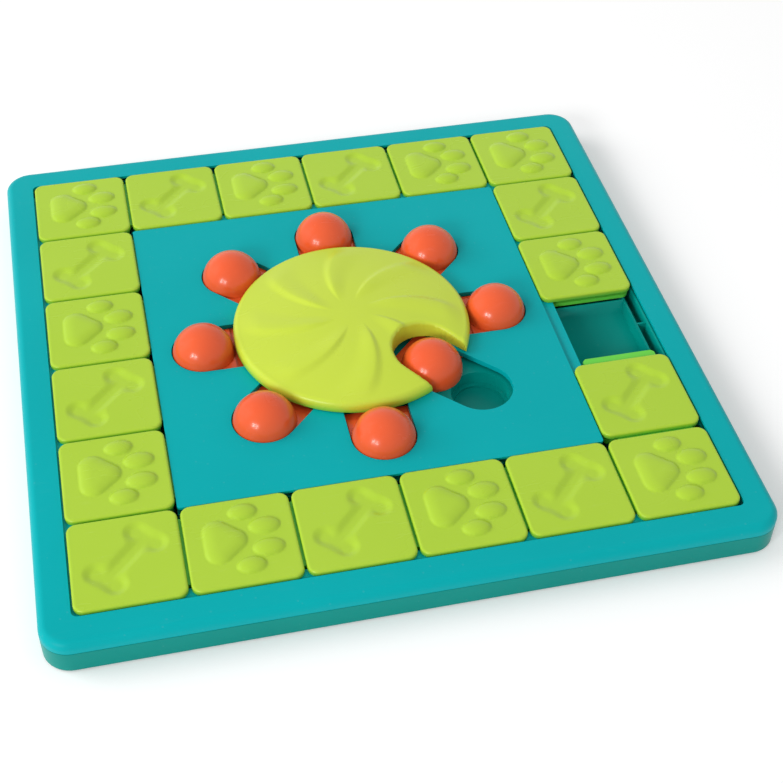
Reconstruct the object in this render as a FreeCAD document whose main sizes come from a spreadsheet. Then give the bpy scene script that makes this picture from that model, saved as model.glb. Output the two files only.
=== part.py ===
import FreeCAD, Part
import Sketcher
import math
import os
import re

# Sliding-tile treat board for a dog: a square two-shell board with a ring track of sliding
# tiles over treat pans, a raised centre deck with radial slots, eight domed sliders over
# treat cups, and a turning dial with one notch. Millimetres, +Z up, origin on the ground
# under the middle of the board.

doc = FreeCAD.newDocument("treat_board")
sheet = doc.addObject("Spreadsheet::Sheet", "Sizes")

SIZES = [
    ("boardWidth", 336.0, "outer width of the square board"),
    ("boardCorner", 13.5, "outer corner radius in plan"),
    ("topEdgeRound", 4.0, "rounding along the top outer edge"),
    ("topLevel", 18.5, "height of the frame and deck tops"),
    ("partingLevel", 12.5, "lower edge of the outer frame"),
    ("partingGap", 0.3, "shadow line between frame and tray"),
    ("rimLevel", 1.0, "lower edge of the tray wall"),
    ("floorUnder", 2.0, "underside of the tray floor"),
    ("floorTop", 4.5, "top of the tray floor, the treats lie on it"),
    ("trayWall", 4.2, "outer wall of the tray"),
    ("frameWall", 2.4, "skirt of the outer frame"),
    ("frameFit", 0.2, "gap between the skirt and the tray's lip"),
    ("plateThick", 1.6, "plate of the frame over the grooves"),
    ("cellPitch", 51.0, "spacing of the tile places"),
    ("windowGap", 0.3, "window edge beyond the last tile place"),
    ("windowCorner", 3.0, "corner radius of the window"),
    ("railWall", 1.6, "rail round the outside of the track"),
    ("railTop", 14.6, "top of the rail"),
    ("panWall", 1.2, "walls of the treat pans"),
    ("panTop", 12.2, "top of the pan walls, the tiles run over them"),
    ("panInner", 107.1, "half width of the inner pan wall, track side"),
    ("panOuter", 147.6, "half width of the outer pan wall, pan side"),
    ("ribShift", 5.5, "how far a small rib sits from the middle of its cell"),
    ("tileWidth", 49.4, "width of a tile cap"),
    ("tileCorner", 4.8, "corner radius of a tile cap"),
    ("tileTop", 19.7, "top of a tile cap"),
    ("tileEdge", 0.9, "chamfer round the top of a tile cap"),
    ("lipWidth", 48.0, "width of the lower lip of a tile"),
    ("lipCorner", 4.0, "corner radius of the lower lip"),
    ("lipUnder", 12.6, "underside of a tile"),
    ("grooveDepth", 7.5, "depth of a tile's groove from its cap edge"),
    ("tongueReach", 6.3, "how far tongues and ledges stand out"),
    ("tongueUnder", 14.9, "underside of tongues and ledges"),
    ("tongueTop", 16.7, "top of tongues and ledges"),
    ("tongueFrom", 17.5, "tongue end before the middle of its tile"),
    ("tongueTo", 20.5, "tongue end past the middle of its tile"),
    ("tongueCorner", 1.5, "chamfer on the corners of a tongue"),
    ("looseShift", 1.3, "how far the loose tile has crept to the free place"),
    ("deckThick", 2.8, "thickness of the centre deck"),
    ("deckCorner", 1.5, "corner radius of the centre deck"),
    ("rebateWide", 8.0, "width of the rebate over the tile tongues"),
    ("ledgeRoot", 3.0, "how far a ledge runs in under the deck"),
    ("plateauTop", 14.0, "floor of the slider channels"),
    ("plateauWall", 1.8, "wall of the raised middle of the tray"),
    ("cupRadius", 14.8, "radius of a treat cup"),
    ("cupFloor", 5.5, "floor of a treat cup"),
    ("cupStepRadius", 12.6, "radius below the step in a cup"),
    ("cupStep", 7.0, "height of the step in a cup"),
    ("cupWall", 1.4, "wall of a treat cup"),
    ("seatRadius", 76.5, "distance of a cup from the middle"),
    ("slotHalf", 16.0, "half width of a slot in the deck"),
    ("deckHole", 43.0, "radius of the opening under the dial"),
    ("slideHalf", 15.5, "half width of a slider in its slot"),
    ("slideTail", 14.8, "length of a slider's tail behind its dome"),
    ("slideUnder", 14.3, "underside of a slider"),
    ("slideTop", 18.3, "top of the slider's tail"),
    ("flangeTop", 15.4, "top of the slider's flange"),
    ("flangeHalf", 18.6, "half width of the flange"),
    ("flangeTail", 20.0, "flange end towards the dial"),
    ("flangeNose", 8.0, "flange end away from the dial"),
    ("domeRadius", 15.6, "radius of a slider's dome"),
    ("domeTop", 31.5, "top of a slider's dome"),
    ("openRadius", 48.0, "distance of the pushed-in slider from the middle"),
    ("dialRadius", 60.5, "radius of the dial"),
    ("dialUnder", 19.0, "underside of the dial"),
    ("dialRim", 25.0, "top of the dial's rim"),
    ("dialCrown", 26.3, "top of the dial in the middle"),
    ("dialEdge", 2.2, "rounding of the dial's rim"),
    ("notchHalf", 16.8, "half width of the dial's notch"),
    ("notchSeat", 43.5, "distance of the notch's round end centre"),
    ("notchBearing", -43.0, "bearing of the notch's round end"),
    ("notchTurn", -49.0, "direction in which the notch opens"),
    ("hubRadius", 8.0, "radius of the dial's hub"),
    ("hubPlay", 0.05, "running clearance round the hub"),
    ("hubWall", 3.0, "wall of the hub's sleeve on the tray"),
    ("hubGap", 0.3, "axial clearance of the dial"),
    ("washerRadius", 12.0, "radius of the dial's washer"),
    ("washerThick", 1.0, "thickness of the washer"),
    ("shankRadius", 1.9, "radius of the dial screw's shank"),
    ("pilotFit", 0.05, "clearance round a screw's shank"),
    ("dialHeadRadius", 4.5, "head radius of the dial screw"),
    ("dialHeadThick", 2.5, "head height of the dial screw"),
    ("dialShank", 7.0, "length of the dial screw's shank"),
    ("bossRadius", 3.2, "radius of a screw boss"),
    ("bossGap", 0.3, "gap round a deck boss in its hole"),
    ("frameBossAt", 158.6, "frame screws, distance from both middle lines"),
    ("deckBossAt", 90.0, "deck screws, distance from both middle lines"),
    ("deckPadRadius", 6.0, "radius of a pad under the deck"),
    ("trayBossRadius", 4.6, "radius of a screw well in the tray"),
    ("trayBossTop", 8.0, "top of a screw well in the tray"),
    ("wellRadius", 3.2, "radius of the counterbore in a screw well"),
    ("wellDepth", 3.0, "depth of the counterbore"),
    ("smallShank", 1.3, "radius of a case screw's shank"),
    ("smallHeadRadius", 2.8, "head radius of a case screw"),
    ("smallHeadThick", 1.8, "head height of a case screw"),
    ("smallShankLength", 8.0, "shank length of a frame screw"),
    ("deckShankLength", 5.0, "shank length of a deck screw"),
    ("footRadius", 8.0, "radius of a foot"),
    ("footAt", 140.0, "feet, distance from both middle lines"),
]

for row, (alias, value, note) in enumerate(SIZES, start=1):
    sheet.set("A%d" % row, note)
    sheet.set("B%d" % row, repr(value))
    sheet.setAlias("B%d" % row, alias)
doc.recompute()

ALIAS = re.compile(r"\b(%s)\b" % "|".join(name for name, value, note in SIZES))
TILES_PER_SIDE = 6
SLIDERS = 8
SLIDER_STEP = 360.0 / SLIDERS


def size(name):
    """Value of one sheet cell."""
    return float(sheet.get(name))


def bind(target, prop, formula):
    """Bind a property to a formula of sheet aliases."""
    target.setExpression(prop, ALIAS.sub(r"Sizes.\1", formula))


def worked(formula):
    """Number that a formula of sheet aliases gives now."""
    return float(sheet.evalExpression(ALIAS.sub(r"Sizes.\1", formula)))


def new_body(label):
    body = doc.addObject("PartDesign::Body", label)
    body.Label = label
    return body


def plane_of(body, role):
    for feature in body.Origin.OriginFeatures:
        if feature.Role == role:
            return feature
    raise RuntimeError("no plane " + role)


def new_sketch(body, name, level, at=("0", "0"), turn=None, role="XY_Plane"):
    """Sketch parallel to the ground at a level, its own origin placed by formulas."""
    sketch = body.newObject("Sketcher::SketchObject", name)
    sketch.AttachmentSupport = [(plane_of(body, role), "")]
    sketch.MapMode = "FlatFace"
    bind(sketch, "AttachmentOffset.Base.x", at[0])
    bind(sketch, "AttachmentOffset.Base.y", at[1])
    bind(sketch, "AttachmentOffset.Base.z", level)
    if turn is not None:
        offset = sketch.AttachmentOffset
        offset.Rotation = FreeCAD.Rotation(FreeCAD.Vector(0, 0, 1), worked(turn))
        sketch.AttachmentOffset = offset
        bind(sketch, "AttachmentOffset.Rotation.Angle", turn)
    return sketch


def hold(sketch, kind, where, name, formula):
    """Add a driven size to a sketch and bind it."""
    number = sketch.addConstraint(Sketcher.Constraint(kind, *where, worked(formula)))
    sketch.renameConstraint(number, name)
    bind(sketch, "Constraints." + name, formula)


def rectangle(sketch, wide, deep):
    """Rectangle with its lower left corner at the sketch's origin."""
    across = worked(wide)
    along = worked(deep)
    corners = [(0, 0), (across, 0), (across, along), (0, along)]
    for index, corner in enumerate(corners):
        after = corners[(index + 1) % len(corners)]
        line = Part.LineSegment(FreeCAD.Vector(*corner, 0), FreeCAD.Vector(*after, 0))
        sketch.addGeometry(line, False)
    for index in range(4):
        sketch.addConstraint(Sketcher.Constraint("Coincident", index, 2, (index + 1) % 4, 1))
        kind = "Horizontal" if index % 2 == 0 else "Vertical"
        sketch.addConstraint(Sketcher.Constraint(kind, index))
    sketch.addConstraint(Sketcher.Constraint("Coincident", 0, 1, -1, 1))
    hold(sketch, "DistanceX", (0, 1, 0, 2), "wide", wide)
    hold(sketch, "DistanceY", (1, 1, 1, 2), "deep", deep)


def rounded_rectangle(sketch, wide, deep, corner):
    """Rectangle with rounded corners, its lower left limit at the sketch's origin."""
    across = worked(wide)
    along = worked(deep)
    bend = worked(corner)
    lines = [
        ((bend, 0), (across - bend, 0)),
        ((across, bend), (across, along - bend)),
        ((across - bend, along), (bend, along)),
        ((0, along - bend), (0, bend)),
    ]
    centres = [(across - bend, bend), (across - bend, along - bend),
               (bend, along - bend), (bend, bend)]
    for index, (line, centre) in enumerate(zip(lines, centres)):
        start, end = (FreeCAD.Vector(*point, 0) for point in line)
        sketch.addGeometry(Part.LineSegment(start, end), False)
        ring = Part.Circle(FreeCAD.Vector(*centre, 0), FreeCAD.Vector(0, 0, 1), bend)
        begin = (index - 1) * math.pi / 2
        sketch.addGeometry(Part.ArcOfCircle(ring, begin, begin + math.pi / 2), False)
    for index in range(8):
        sketch.addConstraint(Sketcher.Constraint("Tangent", index, 2, (index + 1) % 8, 1))
    for index, kind in ((0, "Horizontal"), (2, "Vertical"), (4, "Horizontal"), (6, "Vertical")):
        sketch.addConstraint(Sketcher.Constraint(kind, index))
    for index in (3, 5, 7):
        sketch.addConstraint(Sketcher.Constraint("Equal", 1, index))
    sketch.addConstraint(Sketcher.Constraint("PointOnObject", 0, 1, -1))
    sketch.addConstraint(Sketcher.Constraint("PointOnObject", 6, 1, -2))
    hold(sketch, "Radius", (1,), "corner", corner)
    hold(sketch, "DistanceX", (6, 1, 2, 1), "wide", wide)
    hold(sketch, "DistanceY", (0, 1, 4, 1), "deep", deep)


def circle(sketch, radius):
    """Circle about the sketch's origin."""
    number = sketch.addGeometry(
        Part.Circle(FreeCAD.Vector(0, 0, 0), FreeCAD.Vector(0, 0, 1), worked(radius)), False
    )
    sketch.addConstraint(Sketcher.Constraint("Coincident", number, 3, -1, 1))
    hold(sketch, "Radius", (number,), "radius", radius)


def slot_end(sketch, half, reach):
    """Half disc towards -X joined to a straight stretch towards +X."""
    wide = worked(half)
    far = worked(reach)
    origin = FreeCAD.Vector(0, 0, 0)
    ring = Part.Circle(origin, FreeCAD.Vector(0, 0, 1), wide)
    arc = sketch.addGeometry(Part.ArcOfCircle(ring, math.pi / 2, 3 * math.pi / 2), False)
    points = [(0, -wide), (far, -wide), (far, wide), (0, wide)]
    for start, end in zip(points, points[1:]):
        line = Part.LineSegment(FreeCAD.Vector(*start, 0), FreeCAD.Vector(*end, 0))
        sketch.addGeometry(line, False)
    sketch.addConstraint(Sketcher.Constraint("Coincident", arc, 3, -1, 1))
    sketch.addConstraint(Sketcher.Constraint("Tangent", arc, 2, arc + 1, 1))
    sketch.addConstraint(Sketcher.Constraint("Coincident", arc + 1, 2, arc + 2, 1))
    sketch.addConstraint(Sketcher.Constraint("Coincident", arc + 2, 2, arc + 3, 1))
    sketch.addConstraint(Sketcher.Constraint("Tangent", arc + 3, 2, arc, 1))
    sketch.addConstraint(Sketcher.Constraint("Horizontal", arc + 1))
    sketch.addConstraint(Sketcher.Constraint("Horizontal", arc + 3))
    sketch.addConstraint(Sketcher.Constraint("Vertical", arc + 2))
    hold(sketch, "Radius", (arc,), "half", half)
    hold(sketch, "DistanceX", (arc + 1, 1, arc + 1, 2), "reach", reach)


def pad(body, sketch, height, name):
    feature = body.newObject("PartDesign::Pad", name)
    feature.Profile = sketch
    bind(feature, "Length", height)
    doc.recompute()
    return feature


def pocket(body, sketch, depth, name):
    """Cut upwards from the sketch's level."""
    before = body.Shape.Volume
    feature = body.newObject("PartDesign::Pocket", name)
    feature.Profile = sketch
    feature.Reversed = True
    bind(feature, "Length", depth)
    doc.recompute()
    if not body.Shape.Volume < before - 1e-6:
        raise RuntimeError("%s cuts nothing %s" % (name, feature.State))
    return feature


def outline(sketch, wide, deep, corner):
    if corner is None:
        rectangle(sketch, wide, deep)
    else:
        rounded_rectangle(sketch, wide, deep, corner)


def block(body, name, low, high, x, y, wide, deep, corner=None):
    """Pad a rectangle between two levels."""
    sketch = new_sketch(body, name + "Sketch", low, (x, y))
    outline(sketch, wide, deep, corner)
    return pad(body, sketch, "(%s) - (%s)" % (high, low), name)


def gap(body, name, low, high, x, y, wide, deep, corner=None):
    """Cut a rectangle between two levels."""
    sketch = new_sketch(body, name + "Sketch", low, (x, y))
    outline(sketch, wide, deep, corner)
    return pocket(body, sketch, "(%s) - (%s)" % (high, low), name)


def square_block(body, name, low, high, half, corner=None):
    return block(body, name, low, high, "-(%s)" % half, "-(%s)" % half,
                 "2 * (%s)" % half, "2 * (%s)" % half, corner)


def square_gap(body, name, low, high, half, corner=None):
    return gap(body, name, low, high, "-(%s)" % half, "-(%s)" % half,
               "2 * (%s)" % half, "2 * (%s)" % half, corner)


def post(body, name, low, high, x, y, radius):
    sketch = new_sketch(body, name + "Sketch", low, (x, y))
    circle(sketch, radius)
    return pad(body, sketch, "(%s) - (%s)" % (high, low), name)


def bore(body, name, low, high, x, y, radius):
    sketch = new_sketch(body, name + "Sketch", low, (x, y))
    circle(sketch, radius)
    return pocket(body, sketch, "(%s) - (%s)" % (high, low), name)


def edges_where(shape, test):
    return ["Edge%d" % (i + 1) for i, edge in enumerate(shape.Edges) if test(edge)]


def upright_at(half_x, half_y=None):
    """Test for upright edges at a given distance from both middle lines."""
    if half_y is None:
        half_y = half_x

    def test(edge):
        box = edge.BoundBox
        upright = box.ZLength > 0.1 and box.XLength < 1e-4 and box.YLength < 1e-4
        centre = box.Center
        return upright and abs(abs(centre.x) - half_x) < 1e-3 and abs(abs(centre.y) - half_y) < 1e-3

    return test


def level_edges(level):
    """Test for edges that lie flat at a level."""

    def test(edge):
        box = edge.BoundBox
        return box.ZLength < 1e-4 and abs(box.ZMax - level) < 1e-3

    return test


def round_edges(body, name, test, radius):
    feature = body.newObject("PartDesign::Fillet", name)
    base = body.Tip if body.Tip != feature else feature.BaseFeature
    feature.Base = (base, edges_where(base.Shape, test))
    bind(feature, "Radius", radius)
    doc.recompute()
    return feature


def bevel_edges(body, name, test, depth):
    feature = body.newObject("PartDesign::Chamfer", name)
    base = body.Tip if body.Tip != feature else feature.BaseFeature
    feature.Base = (base, edges_where(base.Shape, test))
    bind(feature, "Size", depth)
    doc.recompute()
    return feature


def spread(body, name, features, count):
    """Repeat features evenly round the upright axis."""
    pattern = body.newObject("PartDesign::PolarPattern", name)
    pattern.Originals = features
    axis = [f for f in body.Origin.OriginFeatures if f.Role == "Z_Axis"][0]
    pattern.Axis = (axis, [""])
    pattern.Angle = 360.0
    pattern.Occurrences = count
    body.Tip = pattern
    doc.recompute()
    return pattern


ISLAND = "2 * cellPitch"
WINDOW = "3 * cellPitch + windowGap"
PLATE_UNDER = "topLevel - plateThick"
DECK_UNDER = "topLevel - deckThick"


def make_base_tray():
    """Lower shell: floor, treat pans round the track, raised middle with treat cups."""
    body = new_body("tray_shell")
    square_block(body, "Outer", "rimLevel", "partingLevel - partingGap", "boardWidth / 2",
                 "boardCorner")
    square_block(body, "Lip", "partingLevel - partingGap", PLATE_UNDER,
                 "boardWidth / 2 - frameWall - frameFit", "boardCorner - frameWall - frameFit")
    inside = "boardWidth / 2 - trayWall"
    square_gap(body, "Inside", "floorTop", PLATE_UNDER, inside, "boardCorner - trayWall")
    square_gap(body, "UnderRecess", "rimLevel", "floorUnder", inside, "boardCorner - trayWall")
    square_block(body, "Plateau", "floorTop", "plateauTop", ISLAND)
    square_gap(body, "PlateauHollow", "floorUnder", "plateauTop - plateauWall",
               ISLAND + " - plateauWall")
    walls = square_walls("rail", "railTop", WINDOW, "railWall")
    walls += square_walls("outer_pan", "panTop", "panOuter", "panWall")
    walls += square_walls("inner_pan", "panTop", "panInner", "panWall")
    walls += cross_walls()
    level = "plateauTop - plateauWall"
    added = ring_of_cylinders("cup_shell", SLIDERS, "seatRadius", "cupRadius + cupWall",
                              "cupFloor - cupWall", "plateauTop")
    added.append(cylinder("sleeve", "0", "0", "hubRadius + hubPlay + hubWall", level,
                          "dialUnder - hubGap"))
    added += corner_cylinders("deck_pad", "deckBossAt", "deckPadRadius", "plateauTop",
                              DECK_UNDER)
    added += corner_cylinders("screw_well", "frameBossAt", "trayBossRadius", "floorUnder",
                              "trayBossTop")
    solid = joined("tray_solid", [body] + walls + added)
    removed = ring_of_cylinders("cup", SLIDERS, "seatRadius", "cupRadius", "cupStep",
                                "plateauTop + 1")
    removed += ring_of_cylinders("cup_well", SLIDERS, "seatRadius", "cupStepRadius", "cupFloor",
                                 "cupStep + 1")
    removed.append(cylinder("sleeve_bore", "0", "0", "hubRadius + hubPlay", level + " - 1",
                            "dialUnder"))
    removed += corner_cylinders("deck_hole", "deckBossAt", "bossRadius + bossGap",
                                level + " - 1", "topLevel")
    removed += corner_cylinders("well_bore", "frameBossAt", "wellRadius", "floorUnder - 1",
                                "floorUnder + wellDepth")
    removed += corner_cylinders("well_hole", "frameBossAt", "smallShank + pilotFit",
                                "floorUnder", "trayBossTop + 1")
    return cut_from("base_tray", solid, joined("tray_holes", removed))


def box(name, low, high, x, y, wide, deep):
    thing = doc.addObject("Part::Box", name)
    bind(thing, "Placement.Base.x", x)
    bind(thing, "Placement.Base.y", y)
    bind(thing, "Placement.Base.z", low)
    bind(thing, "Length", wide)
    bind(thing, "Width", deep)
    bind(thing, "Height", "(%s) - (%s)" % (high, low))
    return thing


def cylinder(name, x, y, radius, low, high):
    thing = doc.addObject("Part::Cylinder", name)
    bind(thing, "Placement.Base.x", x)
    bind(thing, "Placement.Base.y", y)
    bind(thing, "Placement.Base.z", low)
    bind(thing, "Radius", radius)
    bind(thing, "Height", "(%s) - (%s)" % (high, low))
    return thing


def ring_of_cylinders(name, count, distance, radius, low, high):
    things = []
    for index in range(count):
        turn = index * 360.0 / count
        x = "(%s) * cos(%s deg)" % (distance, turn)
        y = "(%s) * sin(%s deg)" % (distance, turn)
        things.append(cylinder(name, x, y, radius, low, high))
    return things


def corner_cylinders(name, distance, radius, low, high):
    return [cylinder(name, "%d * %s" % (across, distance), "%d * %s" % (along, distance),
                     radius, low, high) for across, along in corner_signs()]


def joined(name, pieces):
    fuse = doc.addObject("Part::MultiFuse", name)
    fuse.Shapes = pieces
    fuse.Refine = True
    return fuse


def cut_from(name, solid, tool):
    cut = doc.addObject("Part::Cut", name)
    cut.Base = solid
    cut.Tool = tool
    cut.Refine = True
    cut.Label = name
    doc.recompute()
    return cut


def square_walls(name, high, half, wall):
    """Four upright walls round a square, outside its half width."""
    low = "floorTop"
    reach = "2 * (%s + %s)" % (half, wall)
    start = "-(%s) - %s" % (half, wall)
    return [
        box(name + "_right", low, high, half, start, wall, reach),
        box(name + "_left", low, high, start, start, wall, reach),
        box(name + "_back", low, high, start, half, reach, wall),
        box(name + "_front", low, high, start, start, reach, wall),
    ]


def cross_walls():
    """Walls between the treat pans, and the small ribs that tie them to the rail."""
    things = []
    span = "panOuter - panInner"
    near = "-panOuter"
    rib = WINDOW + " - panOuter"
    beyond = "-(%s)" % WINDOW
    for step in range(-2, 3):
        place = "%d * cellPitch - panWall / 2" % step
        things.append(box("cross", "floorTop", "panTop", "panInner", place, span, "panWall"))
        things.append(box("cross", "floorTop", "panTop", near, place, span, "panWall"))
        things.append(box("cross", "floorTop", "panTop", place, "panInner", "panWall", span))
        things.append(box("cross", "floorTop", "panTop", place, near, "panWall", span))
    for step in range(-3, 3):
        place = "%s * cellPitch + ribShift" % (step + 0.5)
        things.append(box("rib", "floorTop", "panTop", "panOuter", place, rib, "panWall"))
        things.append(box("rib", "floorTop", "panTop", beyond, place, rib, "panWall"))
        things.append(box("rib", "floorTop", "panTop", place, "panOuter", "panWall", rib))
        things.append(box("rib", "floorTop", "panTop", place, beyond, "panWall", rib))
    return things


def make_outer_frame():
    """Upper shell round the track: skirt, thin plate over the grooves, ledges on two sides."""
    body = new_body("outer_frame")
    square_block(body, "Shell", "partingLevel", "topLevel", "boardWidth / 2", "boardCorner")
    round_edges(body, "TopEdge", level_edges(size("topLevel")), "topEdgeRound")
    inside = "boardWidth / 2 - frameWall"
    square_gap(body, "Underside", "partingLevel", PLATE_UNDER, inside, "boardCorner - frameWall")
    square_gap(body, "Window", PLATE_UNDER, "topLevel", WINDOW, "windowCorner")
    run = "2 * (%s) - tongueReach" % WINDOW
    start = "-(%s) - railWall" % WINDOW
    block(body, "LeftWall", "tongueUnder", PLATE_UNDER, start, start, "railWall", run)
    block(body, "FrontWall", "tongueUnder", PLATE_UNDER, start, start, run, "railWall")
    block(body, "LeftLedge", "tongueUnder", "tongueTop", start, start,
          "railWall + tongueReach", run)
    block(body, "FrontLedge", "tongueUnder", "tongueTop", start, start, run,
          "railWall + tongueReach")
    boss = post(body, "Boss", "trayBossTop", PLATE_UNDER, "frameBossAt", "frameBossAt",
                "bossRadius")
    spread(body, "Bosses", [boss], 4)
    hole = bore(body, "Pilot", "trayBossTop", PLATE_UNDER, "frameBossAt", "frameBossAt",
                "smallShank + pilotFit")
    spread(body, "Pilots", [hole], 4)
    return body


def make_centre_deck():
    """Middle plate with eight radial slots, ledges on two sides and rebates on the others."""
    body = new_body("centre_deck")
    square_block(body, "Plate", DECK_UNDER, "topLevel", ISLAND, "deckCorner")
    gap(body, "LeftRebate", DECK_UNDER, PLATE_UNDER, "-" + ISLAND, "-" + ISLAND, "rebateWide",
        "4 * cellPitch")
    gap(body, "FrontRebate", DECK_UNDER, PLATE_UNDER, "-" + ISLAND, "-" + ISLAND,
        "4 * cellPitch", "rebateWide")
    begin = "-%s + tongueReach" % ISLAND
    run = "4 * cellPitch"
    block(body, "RightLedge", "tongueUnder", "tongueTop", ISLAND + " - ledgeRoot", begin,
          "ledgeRoot + tongueReach", run)
    block(body, "BackLedge", "tongueUnder", "tongueTop", begin, ISLAND + " - ledgeRoot", run,
          "ledgeRoot + tongueReach")
    bore(body, "Middle", DECK_UNDER, "topLevel", "0", "0", "deckHole")
    slot = new_sketch(body, "SlotSketch", DECK_UNDER, ("seatRadius", "0"), "180")
    slot_end(slot, "slotHalf", "seatRadius - deckHole / 2")
    cut = pocket(body, slot, "deckThick", "Slot")
    spread(body, "Slots", [cut], SLIDERS)
    boss = post(body, "Boss", "plateauTop - plateauWall + bossGap", DECK_UNDER, "deckBossAt",
                "deckBossAt", "bossRadius")
    spread(body, "Bosses", [boss], 4)
    hole = bore(body, "Pilot", "plateauTop - plateauWall + bossGap", "topLevel - plateThick",
                "deckBossAt", "deckBossAt", "smallShank + pilotFit")
    spread(body, "Pilots", [hole], 4)
    return body


def make_dial():
    """Low domed disc with one notch, turning on a hub under its middle."""
    body = new_body("dial")
    sketch = new_sketch(body, "CrownSketch", "0", role="XZ_Plane")
    rim = worked("dialRadius")
    flat = worked("dialRadius - dialEdge")
    low = worked("dialUnder")
    side = worked("dialRim - dialEdge")
    top = worked("dialRim")
    crown = worked("dialCrown")
    sag = crown - top
    arch = (flat * flat + sag * sag) / (2 * sag)
    points = [(0, low), (rim, low), (rim, side)]
    for start, end in zip(points, points[1:]):
        line = Part.LineSegment(FreeCAD.Vector(*start, 0), FreeCAD.Vector(*end, 0))
        sketch.addGeometry(line, False)
    edge = Part.Circle(FreeCAD.Vector(flat, side, 0), FreeCAD.Vector(0, 0, 1), worked("dialEdge"))
    sketch.addGeometry(Part.ArcOfCircle(edge, 0, math.pi / 2), False)
    dome = Part.Circle(FreeCAD.Vector(0, crown - arch, 0), FreeCAD.Vector(0, 0, 1), arch)
    begin = math.atan2(top - crown + arch, flat)
    sketch.addGeometry(Part.ArcOfCircle(dome, begin, math.pi / 2), False)
    axis = Part.LineSegment(FreeCAD.Vector(0, crown, 0), FreeCAD.Vector(0, low, 0))
    sketch.addGeometry(axis, False)
    for index in range(5):
        sketch.addConstraint(Sketcher.Constraint("Coincident", index, 2, (index + 1) % 5, 1))
    sketch.addConstraint(Sketcher.Constraint("Horizontal", 0))
    sketch.addConstraint(Sketcher.Constraint("Vertical", 1))
    for index, end in ((4, 1), (4, 2), (3, 3)):
        sketch.addConstraint(Sketcher.Constraint("PointOnObject", index, end, -2))
    hold(sketch, "DistanceY", (-1, 1, 0, 1), "under", "dialUnder")
    hold(sketch, "DistanceX", (0, 1, 0, 2), "rim", "dialRadius")
    hold(sketch, "DistanceY", (-1, 1, 1, 2), "side", "dialRim - dialEdge")
    hold(sketch, "DistanceX", (-1, 1, 2, 3), "flat", "dialRadius - dialEdge")
    hold(sketch, "DistanceY", (-1, 1, 2, 3), "shoulder", "dialRim - dialEdge")
    hold(sketch, "DistanceX", (-1, 1, 2, 2), "brow", "dialRadius - dialEdge")
    hold(sketch, "DistanceY", (-1, 1, 4, 1), "crown", "dialCrown")
    turned = body.newObject("PartDesign::Revolution", "Crown")
    turned.Profile = sketch
    turned.ReferenceAxis = (sketch, ["V_Axis"])
    turned.Angle = 360.0
    doc.recompute()
    post(body, "Hub", "plateauTop - plateauWall - hubGap", "dialUnder", "0", "0", "hubRadius")
    notch = new_sketch(body, "NotchSketch", "dialUnder",
                       ("notchSeat * cos(notchBearing * 1deg)",
                        "notchSeat * sin(notchBearing * 1deg)"), "notchTurn")
    slot_end(notch, "notchHalf", "dialRadius")
    pocket(body, notch, "dialCrown - dialUnder", "Notch")
    bore(body, "Pilot", "plateauTop - plateauWall - hubGap",
         "plateauTop - plateauWall - hubGap + dialShank", "0", "0", "shankRadius + pilotFit")
    return body


def make_screw(body, name, under, x, y, head_radius, head_thick, shank, shank_length):
    """Pan-head screw standing head down."""
    post(body, name + "Head", under, "(%s) + %s" % (under, head_thick), x, y, head_radius)
    post(body, name + "Shank", under, "(%s) + %s + %s" % (under, head_thick, shank_length), x, y,
         shank)


def make_dial_fixing():
    """Washer and screw that hold the dial's hub from below."""
    washer = new_body("dial_washer")
    top = "plateauTop - plateauWall - hubGap"
    post(washer, "Disc", top + " - washerThick", top, "0", "0", "washerRadius")
    bore(washer, "Hole", top + " - washerThick", top, "0", "0", "shankRadius + pilotFit")
    screw = new_body("dial_screw")
    make_screw(screw, "Screw", top + " - washerThick - dialHeadThick", "0", "0",
               "dialHeadRadius", "dialHeadThick", "shankRadius",
               "washerThick + dialShank - 2 * hubGap")
    return washer, screw


def slider_bearing(index):
    return index * SLIDER_STEP


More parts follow.
